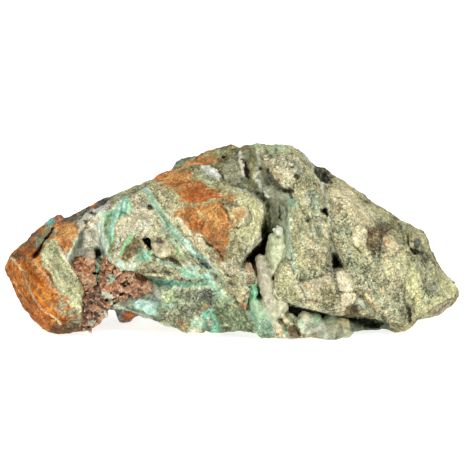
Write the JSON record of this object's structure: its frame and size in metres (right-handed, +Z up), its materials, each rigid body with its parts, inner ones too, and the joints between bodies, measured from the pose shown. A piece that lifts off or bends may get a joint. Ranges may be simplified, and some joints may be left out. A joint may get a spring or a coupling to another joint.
{
  "type": "chalcedony mineral specimen",
  "caption": "Long rough mineral hand specimen: angular speckled rock clasts healed by green and grey chalcedony, with rust crust and open crystal-lined vugs.",
  "frame": {"origin": "middle of the bounding box, on the surface that the stone rests on", "axes": "+X along the length, the rust-coloured end block at -X; +Z up; the open face with the vugs looks along -Y"},
  "size_m": [0.153, 0.058, 0.0611],
  "materials": {
    "host_rock": "rough broken stone",
    "rust_crust": "dull iron stain",
    "chalcedony": "waxy translucent",
    "druse": "small glassy crystals"
  },
  "bodies": {
    "root": {"stone": "host_rock"}
  },
  "joints": []
}
